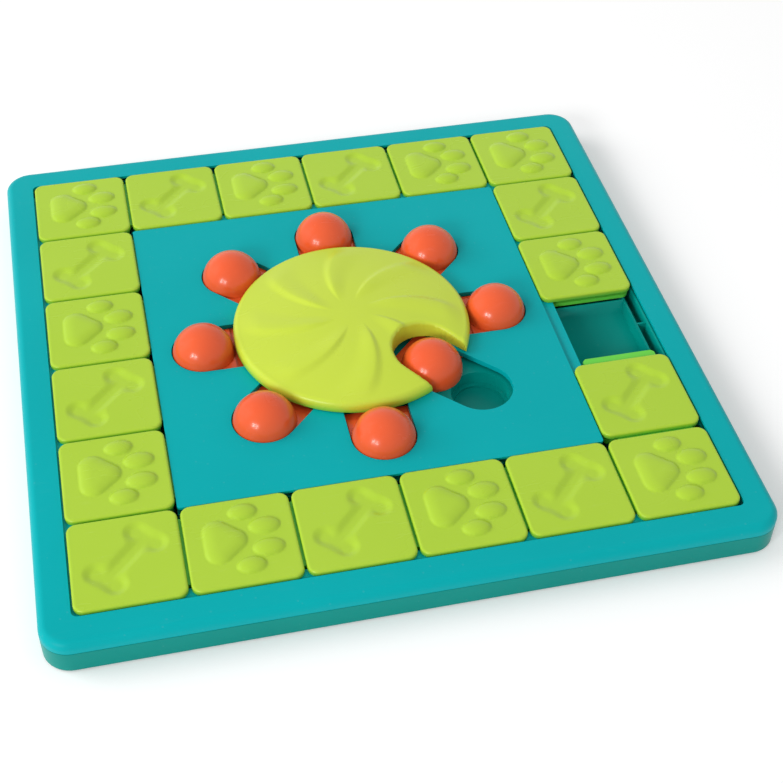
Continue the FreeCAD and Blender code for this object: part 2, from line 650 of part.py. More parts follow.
def make_slider(index):
    """Domed slider: round-ended tail in the slot, flange under the deck, dome on top."""
    body = new_body("slider_%d" % (index + 1))
    tail = new_sketch(body, "TailSketch", "slideUnder", ("0", "0"), "180")
    slot_end(tail, "slideHalf", "slideTail")
    pad(body, tail, "slideTop - slideUnder", "Tail")
    block(body, "Flange", "slideUnder", "flangeTop", "-flangeTail", "-flangeHalf",
          "flangeTail + flangeNose", "2 * flangeHalf")
    sketch = new_sketch(body, "DomeSketch", "0", role="XZ_Plane")
    radius = worked("domeRadius")
    middle = worked("domeTop - domeRadius")
    low = worked("slideTop")
    foot = math.sqrt(radius**2 - (low - middle) ** 2)
    ring = Part.Circle(FreeCAD.Vector(0, middle, 0), FreeCAD.Vector(0, 0, 1), radius)
    begin = math.atan2(low - middle, foot)
    sketch.addGeometry(Part.ArcOfCircle(ring, begin, math.pi / 2), False)
    sketch.addGeometry(
        Part.LineSegment(FreeCAD.Vector(0, middle + radius, 0), FreeCAD.Vector(0, low, 0)), False
    )
    sketch.addGeometry(
        Part.LineSegment(FreeCAD.Vector(0, low, 0), FreeCAD.Vector(foot, low, 0)), False
    )
    sketch.addConstraint(Sketcher.Constraint("Coincident", 0, 2, 1, 1))
    sketch.addConstraint(Sketcher.Constraint("Coincident", 1, 2, 2, 1))
    sketch.addConstraint(Sketcher.Constraint("Coincident", 2, 2, 0, 1))
    sketch.addConstraint(Sketcher.Constraint("PointOnObject", 0, 3, -2))
    sketch.addConstraint(Sketcher.Constraint("PointOnObject", 1, 1, -2))
    sketch.addConstraint(Sketcher.Constraint("PointOnObject", 1, 2, -2))
    sketch.addConstraint(Sketcher.Constraint("Horizontal", 2))
    hold(sketch, "Radius", (0,), "radius", "domeRadius")
    hold(sketch, "DistanceY", (-1, 1, 0, 3), "middle", "domeTop - domeRadius")
    hold(sketch, "DistanceY", (-1, 1, 1, 2), "low", "slideTop")
    dome = body.newObject("PartDesign::Revolution", "Dome")
    dome.Profile = sketch
    dome.ReferenceAxis = (sketch, ["V_Axis"])
    dome.Angle = 360.0
    doc.recompute()
    reach = "openRadius" if index == OPEN_SLIDER else "seatRadius"
    turn = slider_bearing(index)
    body.Placement.Rotation = FreeCAD.Rotation(FreeCAD.Vector(0, 0, 1), turn)
    bind(body, "Placement.Base.x", "%s * cos(%s deg)" % (reach, turn))
    bind(body, "Placement.Base.y", "%s * sin(%s deg)" % (reach, turn))
    return body


OPEN_SLIDER = 7


def make_tile_cap(label, column, row, shift):
    """Rounded square cap of a tile."""
    body = new_body(label)
    square_block(body, "Cap", PLATE_UNDER, "tileTop", "tileWidth / 2", "tileCorner")
    bevel_edges(body, "CapEdge", level_edges(size("tileTop")), "tileEdge")
    place_tile(body, column, row, shift)
    return body


def make_tile_runner(label, column, row, shift):
    """Lower half of a tile: lip, core, and tongues on the right and back sides."""
    body = new_body(label)
    square_block(body, "Lip", "lipUnder", "railTop", "lipWidth / 2", "lipCorner")
    inner = "-(tileWidth / 2 - grooveDepth)"
    core = "lipWidth / 2 + tileWidth / 2 - grooveDepth"
    block(body, "Core", "railTop", PLATE_UNDER, inner, inner, core, core)
    reach = "tileWidth / 2 + tongueReach"
    block(body, "RightTongue", "tongueUnder", "tongueTop", "0", "-tongueFrom", reach,
          "tongueFrom + tongueTo")
    block(body, "BackTongue", "tongueUnder", "tongueTop", "-tongueFrom", "0",
          "tongueFrom + tongueTo", reach)
    far = worked(reach)
    ends = (-size("tongueFrom"), size("tongueTo"))

    def corner(edge):
        box = edge.BoundBox
        upright = box.ZLength > 0.1 and box.XLength < 1e-4 and box.YLength < 1e-4
        centre = box.Center
        right = abs(centre.x - far) < 1e-3 and min(abs(centre.y - e) for e in ends) < 1e-3
        back = abs(centre.y - far) < 1e-3 and min(abs(centre.x - e) for e in ends) < 1e-3
        return upright and (right or back)

    bevel_edges(body, "TongueCorners", corner, "tongueCorner")
    place_tile(body, column, row, shift)
    return body


def place_tile(body, column, row, shift):
    bind(body, "Placement.Base.x", "%s * cellPitch" % (column + 0.5))
    bind(body, "Placement.Base.y", "%s * cellPitch%s" % (row + 0.5, shift))


def tile_places():
    """The ring of tile places, clockwise from the back left corner."""
    ring = [(column, 2) for column in range(-3, 3)]
    ring += [(2, row) for row in range(1, -4, -1)]
    ring += [(column, -3) for column in range(1, -4, -1)]
    ring += [(-3, row) for row in range(-2, 2)]
    return ring


FREE_PLACE = (2, -1)
LOOSE_PLACE = (2, -2)


def make_tiles():
    parts = []
    number = 0
    for column, row in tile_places():
        if (column, row) == FREE_PLACE:
            continue
        number += 1
        shift = " + looseShift" if (column, row) == LOOSE_PLACE else ""
        parts.append(make_tile_cap("tile_%02d_cap" % number, column, row, shift))
        parts.append(make_tile_runner("tile_%02d_runner" % number, column, row, shift))
    return parts


def grouped(label, pieces):
    """Several like solids kept as one part."""
    group = doc.addObject("Part::Compound", label)
    group.Label = label
    group.Links = pieces
    doc.recompute()
    return group


def corner_signs():
    return [(1, 1), (-1, 1), (-1, -1), (1, -1)]


def make_case_screws(label, under, at, shank_length):
    pieces = []
    for index, (across, along) in enumerate(corner_signs()):
        body = new_body("%s_%d" % (label, index + 1))
        make_screw(body, "Screw", under, "%d * %s" % (across, at), "%d * %s" % (along, at),
                   "smallHeadRadius", "smallHeadThick", "smallShank", shank_length)
        pieces.append(body)
    return grouped(label, pieces)


def make_feet():
    pieces = []
    for index, (across, along) in enumerate(corner_signs()):
        body = new_body("foot_%d" % (index + 1))
        post(body, "Foot", "0", "floorUnder", "%d * footAt" % across, "%d * footAt" % along,
             "footRadius")
        bevel_edges(body, "FootEdge", level_edges(0.0), "rimLevel / 2")
        pieces.append(body)
    return grouped("rubber_feet", pieces)


def main():
    parts = [make_base_tray(), make_outer_frame(), make_centre_deck(), make_dial()]
    parts += make_dial_fixing()
    parts += [make_slider(index) for index in range(SLIDERS)]
    parts += make_tiles()
    parts.append(make_case_screws("frame_screws", "floorUnder + wellDepth - smallHeadThick",
                                  "frameBossAt", "smallShankLength"))
    parts.append(make_case_screws("deck_screws", "plateauTop - plateauWall - smallHeadThick",
                                  "deckBossAt", "deckShankLength"))
    parts.append(make_feet())
    doc.recompute()
    for thing in doc.Objects:
        if "Invalid" in thing.State or "Error" in thing.State:
            raise RuntimeError("%s failed: %s" % (thing.Name, thing.State))
    os.makedirs("parts", exist_ok=True)
    for part in parts:
        if part.Shape.isNull() or not part.Shape.isValid():
            raise RuntimeError("%s has no valid shape" % part.Label)
        part.Shape.exportStep("parts/%s.step" % part.Label)
        print("%-22s %10.1f mm3" % (part.Label, part.Shape.Volume))


main()
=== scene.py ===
import bpy, bmesh, math
from mathutils import Matrix, Vector


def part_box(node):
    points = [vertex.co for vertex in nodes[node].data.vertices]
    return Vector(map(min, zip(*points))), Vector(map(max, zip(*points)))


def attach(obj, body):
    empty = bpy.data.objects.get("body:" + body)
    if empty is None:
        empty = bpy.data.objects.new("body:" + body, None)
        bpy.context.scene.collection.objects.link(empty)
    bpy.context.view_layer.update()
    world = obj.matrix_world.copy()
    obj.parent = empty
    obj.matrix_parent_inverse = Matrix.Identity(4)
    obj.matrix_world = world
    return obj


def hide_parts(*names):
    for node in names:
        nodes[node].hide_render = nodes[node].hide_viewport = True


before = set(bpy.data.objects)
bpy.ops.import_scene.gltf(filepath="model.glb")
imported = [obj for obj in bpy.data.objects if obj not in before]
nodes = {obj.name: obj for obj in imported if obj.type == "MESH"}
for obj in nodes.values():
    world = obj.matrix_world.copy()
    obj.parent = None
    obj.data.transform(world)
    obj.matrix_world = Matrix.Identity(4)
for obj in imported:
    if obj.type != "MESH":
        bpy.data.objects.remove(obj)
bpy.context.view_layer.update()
scene = bpy.context.scene
mm = 0.001
weld = 0.01 * mm  # corners nearer than this are one
print("frame: %d nodes" % len(nodes))


# colours and node helpers

def paint(red, green, blue):  # sRGB 0..255 to the linear colour that a socket takes
    def linear(value):
        value /= 255.0
        return value / 12.92 if value <= 0.04045 else ((value + 0.055) / 1.055) ** 2.4
    return (linear(red), linear(green), linear(blue), 1.0)


def addNode(tree, kind, place, **settings):
    node = tree.nodes.new(kind)
    node.location = place
    for name, value in settings.items():
        setattr(node, name, value)
    return node


def feed(tree, socket, value):  # a number or colour is set, another node's output is linked
    if isinstance(value, (int, float, tuple)):
        socket.default_value = value
    else:
        tree.links.new(value, socket)


def maths(tree, place, operation, *values):
    node = addNode(tree, "ShaderNodeMath", place, operation=operation)
    for socket, value in zip(node.inputs, values):
        feed(tree, socket, value)
    return node.outputs[0]


def mixColours(tree, place, factor, first, second, blend="MIX"):
    node = addNode(tree, "ShaderNodeMix", place, data_type="RGBA", blend_type=blend)
    for name, value in (("Factor", factor), ("A", first), ("B", second)):
        feed(tree, node.inputs[name], value)
    return node.outputs["Result"]


def ramp(tree, place, value, low, high, toLow=0.0, toHigh=1.0):
    node = addNode(tree, "ShaderNodeMapRange", place)
    for name, setting in (("Value", value), ("From Min", low), ("From Max", high),
                          ("To Min", toLow), ("To Max", toHigh)):
        feed(tree, node.inputs[name], setting)
    return node.outputs["Result"]


# moulded plastic: cloudy tone, orange peel, fine scuffs and specks of dust

moulded = {
    "cloudDetail": 4.0, "cloudFrom": 0.36, "cloudTo": 0.66, "cloudRough": 0.06,
    "peelDetail": 2.0,
    "scuffTurn": (0.3, 0.2, 0.9), "scuffStretch": (2.0, 9.0, 5.0), "scuffScale": 42.0, "scuffDetail": 6.0,
    "scuffFrom": 0.60, "scuffTo": 0.74, "scuffPale": (0.10, 0.10, 0.10, 1.0), "scuffRough": 0.22,
    "scuffHeight": -0.35,
    "speckScale": 170.0, "speckCore": 0.05, "speckEdge": 0.11, "speckShare": 0.025,
    "speckColour": paint(226, 226, 214),
}


def noise(tree, place, vector, scale, detail):
    node = addNode(tree, "ShaderNodeTexNoise", place)
    for name, value in (("Vector", vector), ("Scale", scale), ("Detail", detail)):
        feed(tree, node.inputs[name], value)
    return node.outputs["Fac"]


def makeMouldedGroup():
    group = bpy.data.node_groups.new("mouldedSurface", "ShaderNodeTree")
    inputs = (("Place", "Vector"), ("Colour", "Color"), ("Deep Colour", "Color"), ("Cloud Scale", "Float"),
              ("Cloud Amount", "Float"), ("Roughness", "Float"), ("Scuffs", "Float"), ("Peel Scale", "Float"))
    outputs = (("Colour", "Color"), ("Roughness", "Float"), ("Height", "Float"))
    for name, kind in inputs:
        group.interface.new_socket(name=name, in_out="INPUT", socket_type="NodeSocket" + kind)
    for name, kind in outputs:
        group.interface.new_socket(name=name, in_out="OUTPUT", socket_type="NodeSocket" + kind)
    start = addNode(group, "NodeGroupInput", (-1200, 0)).outputs
    end = addNode(group, "NodeGroupOutput", (900, 0)).inputs
    # cloudy tone
    cloud = noise(group, (-760, 260), start["Place"], start["Cloud Scale"], moulded["cloudDetail"])
    cloudMask = ramp(group, (-560, 260), cloud, moulded["cloudFrom"], moulded["cloudTo"])
    cloudShare = maths(group, (-360, 260), "MULTIPLY", cloudMask, start["Cloud Amount"])
    tone = mixColours(group, (-160, 240), cloudShare, start["Colour"], start["Deep Colour"])
    # scuffs, which read a little paler and rougher
    stretch = addNode(group, "ShaderNodeMapping", (-960, -340))
    stretch.inputs["Rotation"].default_value = moulded["scuffTurn"]
    stretch.inputs["Scale"].default_value = moulded["scuffStretch"]
    group.links.new(start["Place"], stretch.inputs["Vector"])
    scuff = noise(group, (-760, -340), stretch.outputs["Vector"], moulded["scuffScale"],
                  moulded["scuffDetail"])
    scuffMask = ramp(group, (-560, -340), scuff, moulded["scuffFrom"], moulded["scuffTo"])
    scuffShare = maths(group, (-360, -340), "MULTIPLY", scuffMask, start["Scuffs"])
    worn = mixColours(group, (120, 200), scuffShare, tone, moulded["scuffPale"], "SCREEN")
    # specks of dust
    speck = addNode(group, "ShaderNodeTexVoronoi", (-760, -620))
    speck.inputs["Scale"].default_value = moulded["speckScale"]
    group.links.new(start["Place"], speck.inputs["Vector"])
    speckMask = ramp(group, (-560, -620), speck.outputs["Distance"], moulded["speckCore"],
                     moulded["speckEdge"], 1.0, 0.0)
    speckShare = maths(group, (-360, -620), "MULTIPLY", speckMask, moulded["speckShare"])
    dusty = mixColours(group, (360, 160), speckShare, worn, moulded["speckColour"])
    # roughness, and the height of peel and scuffs
    rougher = maths(group, (120, -120), "MULTIPLY_ADD", scuffShare, moulded["scuffRough"], start["Roughness"])
    uneven = maths(group, (360, -120), "MULTIPLY_ADD", cloudMask, moulded["cloudRough"], rougher)
    peel = noise(group, (-760, -40), start["Place"], start["Peel Scale"], moulded["peelDetail"])
    height = maths(group, (360, -360), "MULTIPLY_ADD", scuffShare, moulded["scuffHeight"], peel)
    for name, socket in (("Colour", dusty), ("Roughness", uneven), ("Height", height)):
        group.links.new(socket, end[name])
    return group


mouldedGroup = makeMouldedGroup()


# the finishes, one material each round the shared group

plainLook = {
    "cloudScale": 16.0, "cloudAmount": 0.55, "scuffs": 0.09, "peelScale": 420.0, "metallic": 0.0,
    "coat": 0.0, "coatRoughness": 0.08, "ior": 1.49, "specular": 0.36, "bump": 0.35, "bumpDepth": 0.06 * mm,
}
looks = {  # rim is painted shade: a darker green laid on the side walls and foot of a piece
    "trayTeal": {"colour": paint(0, 148, 138), "deep": paint(0, 140, 131), "roughness": 0.30,
                 "specular": 0.12, "scuffs": 0.03},
    "frameTeal": {"colour": paint(0, 173, 178), "deep": paint(0, 168, 173), "roughness": 0.34,
                  "specular": 0.1, "scuffs": 0.03},
    "tileLime": {"colour": paint(176, 211, 54), "deep": paint(171, 207, 48), "roughness": 0.24,
                 "rim": paint(96, 190, 60)},
    "runnerLime": {"colour": paint(108, 214, 70), "deep": paint(98, 206, 62), "roughness": 0.36},
    "dialLime": {"colour": paint(201, 222, 66), "deep": paint(196, 219, 58), "roughness": 0.26,
                 "rim": paint(120, 200, 58)},
    "sliderOrange": {"colour": paint(238, 92, 42), "deep": paint(233, 84, 38), "roughness": 0.22,
                     "coat": 0.15, "cloudScale": 40.0},
    "screwSteel": {"colour": paint(176, 178, 180), "deep": paint(150, 152, 155), "roughness": 0.32,
                   "metallic": 1.0, "peelScale": 1400.0},
    "footRubber": {"colour": paint(42, 44, 46), "deep": paint(30, 31, 33), "roughness": 0.72,
                   "scuffs": 0.9, "peelScale": 900.0, "bump": 0.6},
}


def finishMaterial(name, ownLook):
    look = {**plainLook, **ownLook}
    material = bpy.data.materials.new(name)
    material.use_nodes = True
    tree = material.node_tree
    tree.nodes.clear()
    out = addNode(tree, "ShaderNodeOutputMaterial", (700, 0))
    shader = addNode(tree, "ShaderNodeBsdfPrincipled", (400, 0))
    place = addNode(tree, "ShaderNodeTexCoord", (-700, 0))
    surface = addNode(tree, "ShaderNodeGroup", (-400, 0), node_tree=mouldedGroup)
    tree.links.new(shader.outputs["BSDF"], out.inputs["Surface"])
    tree.links.new(place.outputs["Object"], surface.inputs["Place"])
    for socket, key in (("Colour", "colour"), ("Deep Colour", "deep"), ("Cloud Scale", "cloudScale"),
                        ("Cloud Amount", "cloudAmount"), ("Roughness", "roughness"), ("Scuffs", "scuffs"),
                        ("Peel Scale", "peelScale")):
        surface.inputs[socket].default_value = look[key]
    colour = surface.outputs["Colour"]
    if "rim" in look:  # painted shade on the side walls and foot, weighted by the piece's own attribute
        rim = addNode(tree, "ShaderNodeAttribute", (-400, 260), attribute_name="rim")
        colour = mixColours(tree, (-80, 200), rim.outputs["Fac"], colour, look["rim"])
    tree.links.new(colour, shader.inputs["Base Color"])
    tree.links.new(surface.outputs["Roughness"], shader.inputs["Roughness"])
    for socket, key in (("Metallic", "metallic"), ("Coat Weight", "coat"),
                        ("Coat Roughness", "coatRoughness"), ("IOR", "ior"),
                        ("Specular IOR Level", "specular")):
        shader.inputs[socket].default_value = look[key]
    bump = addNode(tree, "ShaderNodeBump", (120, -260))
    bump.inputs["Strength"].default_value = look["bump"]
    bump.inputs["Distance"].default_value = look["bumpDepth"]
    tree.links.new(surface.outputs["Height"], bump.inputs["Height"])
    tree.links.new(bump.outputs["Normal"], shader.inputs["Normal"])
    return material


materials = {name: finishMaterial(name, look) for name, look in looks.items()}
print("materials: %d" % len(materials))


# mesh helpers

softEdge = {
    "merge": 0.002 * mm, "thin": 0.001 * mm, "segments": 2,
    "flatWithin": 0.4, "bevelAbove": 40.0, "sharpAbove": 38.0,  # degrees between two faces
}


def makePiece(name, bm, finish, body, sharpAbove=softEdge["sharpAbove"]):
    mesh = bpy.data.meshes.new(name)
    bm.to_mesh(mesh)
    bm.free()
    mesh.materials.append(materials[finish])
    mesh.shade_smooth()
    mesh.set_sharp_from_angle(angle=math.radians(sharpAbove))
    piece = bpy.data.objects.new(name, mesh)
    scene.collection.objects.link(piece)
    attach(piece, body)
    return piece


def softened(node, name, finish, body, width):  # a node's own shape with rolled edges
    bm = bmesh.new()
    bm.from_mesh(nodes[node].data)
    bmesh.ops.remove_doubles(bm, verts=bm.verts[:], dist=softEdge["merge"])
    bmesh.ops.dissolve_degenerate(bm, edges=bm.edges[:], dist=softEdge["thin"])
    bmesh.ops.dissolve_limit(bm, angle_limit=math.radians(softEdge["flatWithin"]), verts=bm.verts[:],
                             edges=bm.edges[:], use_dissolve_boundaries=False, delimit={"NORMAL"})
    piece = makePiece(name, bm, finish, body)
    if width:
        bevel = piece.modifiers.new("softEdge", "BEVEL")
        bevel.width = width
        bevel.segments = softEdge["segments"]
        bevel.limit_method = "ANGLE"
        bevel.angle_limit = math.radians(softEdge["bevelAbove"])
        bevel.miter_outer = "MITER_ARC"
        bevel.harden_normals = True
    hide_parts(node)


def newVerts(geometry):
    return [item for item in geometry if isinstance(item, bmesh.types.BMVert)]


def smooth(value):  # 0..1 with level ends
    value = max(0.0, min(1.0, value))
    return value * value * (3.0 - 2.0 * value)


# raised paw

paw = {  # millimetres on the tile, toes towards +X
    "rise": 2.0, "fullness": 0.56,  # 0.5 is a ball, 1 a cone
    "heelX": -10.4, "heelY": 6.2, "noseX": -3.4, "round": 6.2, "shiftY": 0.9,
    "bulge": 0.2, "crownX": -7.5, "crownSpread": 190.0,
    "toes": ((2.8, 16.4, 6.6, 4.5), (2.6, -14.6, 6.6, 4.5),  # x, y, half length, half width
             (11.4, 6.6, 7.2, 4.8), (11.6, -6.0, 7.2, 4.8)),
}


def toeHeight(x, y, toe):
    centreX, centreY, halfLong, halfWide = toe
    left = 1.0 - ((x - centreX) / halfLong) ** 2 - ((y - centreY) / halfWide) ** 2
    return left ** paw["fullness"] if left > 0 else 0.0


def padHeight(x, y):  # rounded triangle with a gentle crown
    heel, side = paw["heelX"], paw["heelY"]
    y = abs(y - paw["shiftY"])
    slant = Vector((paw["noseX"] - heel, -side))
    slope = slant.normalized()
    along = max(0.0, min(slant.length, (x - heel) * slope.x + (y - side) * slope.y))
    outside = math.hypot(x - heel - along * slope.x, y - side - along * slope.y)
    beyond = (x - heel) * -slope.y + (y - side) * slope.x  # above 0 past the slanting flank
    if heel <= x and beyond <= 0:
        outside = 0.0
    elif x < heel:
        outside = math.hypot(x - heel, max(0.0, y - side))
    left = 1.0 - (outside / paw["round"]) ** 2
    if left <= 0:
        return 0.0
    crown = 1.0 - ((x - paw["crownX"]) ** 2 + y ** 2) / paw["crownSpread"]
    return left ** paw["fullness"] * (1.0 - paw["bulge"] + paw["bulge"] * crown)


def pawHeight(x, y):
    return paw["rise"] * max(padHeight(x, y), max(toeHeight(x, y, toe) for toe in paw["toes"]))


# sunk bone

bone = {  # millimetres on the tile
    "depth": 1.3, "turn": 46.0, "reach": 13.9, "side": 5.6, "knuckle": 6.2, "shaft": 5.2, "shiftY": 0.8,
    "soft": 4.4, "lip": 0.3, "blend": 4.0,  # width of the walls, and of the change from shaft to knuckle
}


def softMax(first, second, width):  # the larger of two, with a rounded change-over
    share = max(0.0, 1.0 - abs(first - second) / width)
    return max(first, second) + share * share * width / 4


def boneHeight(x, y):
    turn = math.radians(bone["turn"])
    y -= bone["shiftY"]
    along = abs(x * math.cos(turn) + y * math.sin(turn))
    across = -x * math.sin(turn) + y * math.cos(turn)
    inside = bone["shaft"] - math.hypot(across, max(0.0, along - bone["reach"]))
    for side in (-1, 1):
        away = math.hypot(along - bone["reach"], across - side * bone["side"])
        inside = softMax(inside, bone["knuckle"] - away, bone["blend"])
    return -bone["depth"] * smooth((inside + bone["lip"]) / bone["soft"])


# tiles: a relief on a fine grid, its rim rolled down, over the runner

tileTop = {
    "count": 19, "paws": (1, 3, 5, 6, 8, 10, 12, 14, 16, 18),
    "cells": 92,  # grid cells across one top
    "corner": 4.8 * mm, "round": 1.1 * mm, "roundSteps": 4,
    "thick": 2.8 * mm, "spare": 0.15 * mm,  # a top stands this far over its cap
    # share of painted shade where the rounding meets the side wall
    "footShadeShare": 0.35, "sharpAbove": 50.0, "runnerEdge": 0.35 * mm,
}


def rollRim(bm, paintedShadeLayer, core, top, bottom):  # rolls the open border outwards and down, paints shade down its sides, then closes it
    steps, roundness = tileTop["roundSteps"], tileTop["round"]
    flat = tileTop["corner"] - roundness
    border = [edge for edge in bm.edges if edge.is_boundary]
    for index in range(1, steps + 2):
        made = bmesh.ops.extrude_edge_only(bm, edges=border)["geom"]
        border = [item for item in made if isinstance(item, bmesh.types.BMEdge)]
        turn = min(index / steps, 1.0) * math.pi / 2
        level = top - roundness * (1 - math.cos(turn)) if index <= steps else bottom
        for vert in {vert for edge in border for vert in edge.verts}:
            nearest = Vector((max(-core, min(core, vert.co.x)), max(-core, min(core, vert.co.y))))
            out = Vector((vert.co.x, vert.co.y)) - nearest
            if out.length > 1e-9:
                out.normalize()
            spot = nearest + out * (flat + roundness * math.sin(turn))
            vert.co = Vector((spot.x, spot.y, level))
            # painted shade: part at the foot of the rounding, full at the bottom of the side wall
            if index == steps:
                vert[paintedShadeLayer] = tileTop["footShadeShare"]
            elif index > steps:
                vert[paintedShadeLayer] = 1.0
    bmesh.ops.contextual_create(bm, geom=border)


def makeTileTop(number, relief):
    node = "tile_%02d_cap" % number
    low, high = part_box(node)
    middle = (low + high) / 2
    core = (high.x - low.x) / 2 + tileTop["spare"] - tileTop["corner"]
    level = low.z + tileTop["thick"]
    bm = bmesh.new()
    paintedShadeLayer = bm.verts.layers.float.new("rim")
    bmesh.ops.create_grid(bm, x_segments=tileTop["cells"], y_segments=tileTop["cells"],
                          size=core + tileTop["corner"] - tileTop["round"])
    for vert in bm.verts:
        x, y = vert.co.x, vert.co.y
        outX, outY = abs(x) - core, abs(y) - core
        if outX > 0 and outY > 0:  # square corner drawn in to a quarter circle
            reach = max(outX, outY) / math.hypot(outX, outY)
            x = math.copysign(core + outX * reach, x)
            y = math.copysign(core + outY * reach, y)
        vert.co = Vector((x, y, level + relief(x / mm, y / mm) * mm))
    rollRim(bm, paintedShadeLayer, core, level, low.z)
    bmesh.ops.translate(bm, verts=bm.verts[:], vec=(middle.x, middle.y, 0.0))
    bmesh.ops.recalc_face_normals(bm, faces=bm.faces[:])
    piece = makePiece("tileTop%02d" % number, bm, "tileLime", "tile_%02d" % number,
                      tileTop["sharpAbove"])
    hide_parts(node)


for number in range(1, tileTop["count"] + 1):
    makeTileTop(number, pawHeight if number in tileTop["paws"] else boneHeight)
    softened("tile_%02d_runner" % number, "tileRunner%02d" % number, "runnerLime", "tile_%02d" % number,
             tileTop["runnerEdge"])
print("tiles: %d" % tileTop["count"])


# dial: a spun disc with a swirl of ridges, and a notch cut out of its edge

dial = {
    "radius": 60.5 * mm, "under": 19.0 * mm, "rim": 25.0 * mm, "crown": 30.6 * mm,
    "edge": 3.4 * mm, "edgeSteps": 8, "rings": 96, "turns": 384, "sharpAbove": 42.0,
}
swirl = {  # lengths in millimetres from the axis, angles in degrees, flanks as shares of a blade
    "blades": 8, "first": 159.0, "twist": 30.0, "twistAt": 56.0, "bend": 1.25,
    "rise": 1.1, "steepFlank": 0.17, "gentleFlank": 0.50, "crisp": 1.3,
    "plainHub": 6.0, "startAt": 9.0, "startLong": 16.0, "endAt": 58.5, "endLong": 12.0,
}
notch = {
    "half": 16.8 * mm, "seat": 43.5 * mm, "bearing": -43.0, "turn": -49.0, "round": 1.8 * mm,
    "sides": 96, "cutFrom": 12.0 * mm, "cutHigh": 30.0 * mm,
}


def notchSeat(level):  # centre of the notch's round end
    bearing = math.radians(notch["bearing"])
    return Vector((notch["seat"] * math.cos(bearing), notch["seat"] * math.sin(bearing), level))


def notchDistance(x, y):  # how far a point lies outside the notch
    seat, turn = notchSeat(0.0), math.radians(notch["turn"])
    along = (x - seat.x) * math.cos(turn) + (y - seat.y) * math.sin(turn)
    across = abs(-(x - seat.x) * math.sin(turn) + (y - seat.y) * math.cos(turn))
    return (across if along > 0 else math.hypot(along, across)) - notch["half"]


def swirlHeight(x, y):
    reach = math.hypot(x, y)
    if reach < swirl["plainHub"]:
        return 0.0
    crest = swirl["first"] - swirl["twist"] * (reach / swirl["twistAt"]) ** swirl["bend"]
    turns = (math.degrees(math.atan2(y, x)) - crest) * swirl["blades"] / 360.0
    share = (turns + 0.5) % 1.0 - 0.5  # from -0.5 to 0.5 round a crest
    flank = swirl["steepFlank"] if share > 0 else swirl["gentleFlank"]
    wave = (1.0 - smooth(abs(share) / flank)) ** swirl["crisp"]
    start = smooth((reach - swirl["startAt"]) / swirl["startLong"])
    return swirl["rise"] * wave * start * smooth((swirl["endAt"] - reach) / swirl["endLong"])


def drawDialSection(bm, flat, side):  # half section: arched top, rolled edge, side and underside
    first = bm.verts.new((0.0, 0.0, dial["crown"]))
    last = bm.verts.new((flat, 0.0, dial["crown"]))
    bmesh.ops.subdivide_edges(bm, edges=[bm.edges.new((first, last))], cuts=dial["rings"] - 1)
    sag = dial["crown"] - dial["rim"]
    arch = (flat * flat + sag * sag) / (2 * sag)
    for vert in bm.verts:
        vert.co.z = dial["crown"] - arch + math.sqrt(arch * arch - vert.co.x ** 2)
    tail = max(bm.verts, key=lambda vert: vert.co.x)
    spots = []
    for index in range(1, dial["edgeSteps"] + 1):
        turn = index / dial["edgeSteps"] * math.pi / 2
        spots.append((flat + dial["edge"] * math.sin(turn), 0.0, side + dial["edge"] * math.cos(turn)))
    spots += [(dial["radius"], 0.0, dial["under"]), (0.0, 0.0, dial["under"])]
    for spot in spots:
        vert = bm.verts.new(spot)
        bm.edges.new((tail, vert))
        tail = vert


def makeNotchCutter():  # a half disc running out in two straight flanks
    bm = bmesh.new()
    bmesh.ops.create_circle(bm, cap_ends=True, segments=notch["sides"], radius=notch["half"])
    for vert in bm.verts:
        if vert.co.x > 1e-7:
            vert.co.x = dial["radius"]
    bmesh.ops.remove_doubles(bm, verts=bm.verts[:], dist=weld)
    made = bmesh.ops.extrude_face_region(bm, geom=bm.faces[:])["geom"]
    bmesh.ops.translate(bm, verts=newVerts(made), vec=(0, 0, notch["cutHigh"]))
    turnTo = Matrix.Rotation(math.radians(notch["turn"]), 4, "Z")
    place = Matrix.Translation(notchSeat(notch["cutFrom"]))
    bmesh.ops.transform(bm, matrix=place @ turnTo, verts=bm.verts[:])
    bmesh.ops.recalc_face_normals(bm, faces=bm.faces[:])
    mesh = bpy.data.meshes.new("notchCutter")
    bm.to_mesh(mesh)
    bm.free()
    cutter = bpy.data.objects.new("notchCutter", mesh)
    scene.collection.objects.link(cutter)
    return cutter


